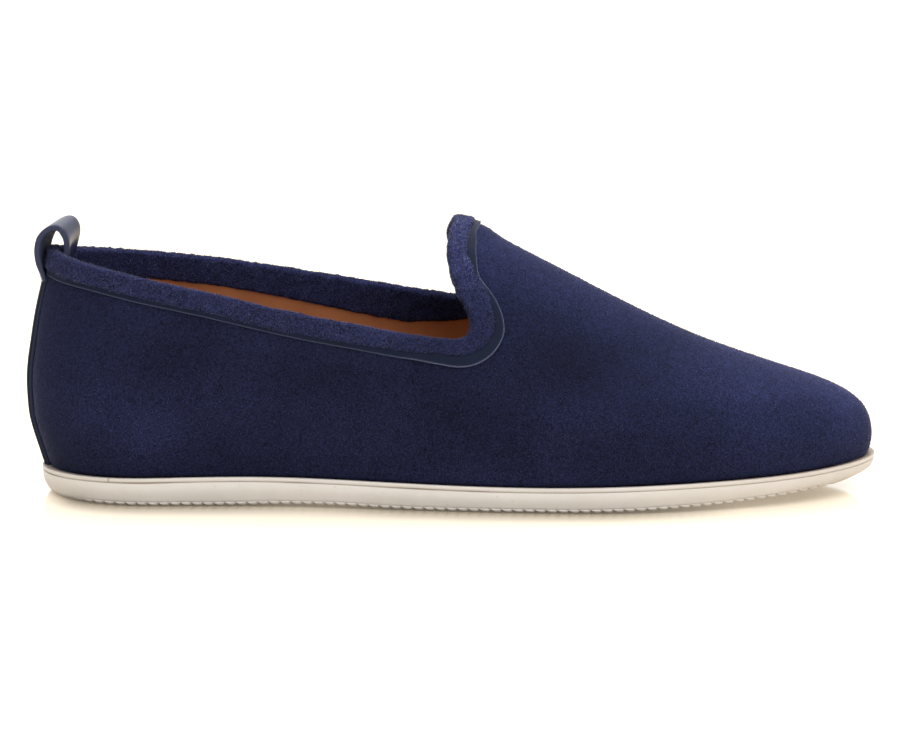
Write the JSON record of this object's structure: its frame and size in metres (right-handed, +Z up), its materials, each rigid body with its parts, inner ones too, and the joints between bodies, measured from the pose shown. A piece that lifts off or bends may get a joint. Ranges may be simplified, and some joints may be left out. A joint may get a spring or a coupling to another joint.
{
  "type": "suede slipper",
  "caption": "Low suede slip-on slipper for the right foot with a rolled collar, leather piping, heel pull loop, hollow upper and a ribbed cream rubber sole.",
  "frame": {"origin": "on the floor, under the middle of the shoe's length and width", "axes": "+X to the toe, +Y to the inner side of the foot, +Z up"},
  "size_m": [0.2909, 0.1006, 0.0945],
  "materials": {
    "navy_suede": "matte nap",
    "band_suede": "rough matte nap",
    "slate_leather": "smooth, low gloss",
    "tan_leather": "smooth, matte",
    "cream_rubber": "matte"
  },
  "bodies": {
    "root": {"outsole": "cream_rubber", "welt": "cream_rubber", "insole": "tan_leather", "upper": "navy_suede", "collar_binding": "band_suede", "collar_piping": "slate_leather", "heel_strip": "slate_leather", "pull_loop": "slate_leather"}
  },
  "joints": []
}
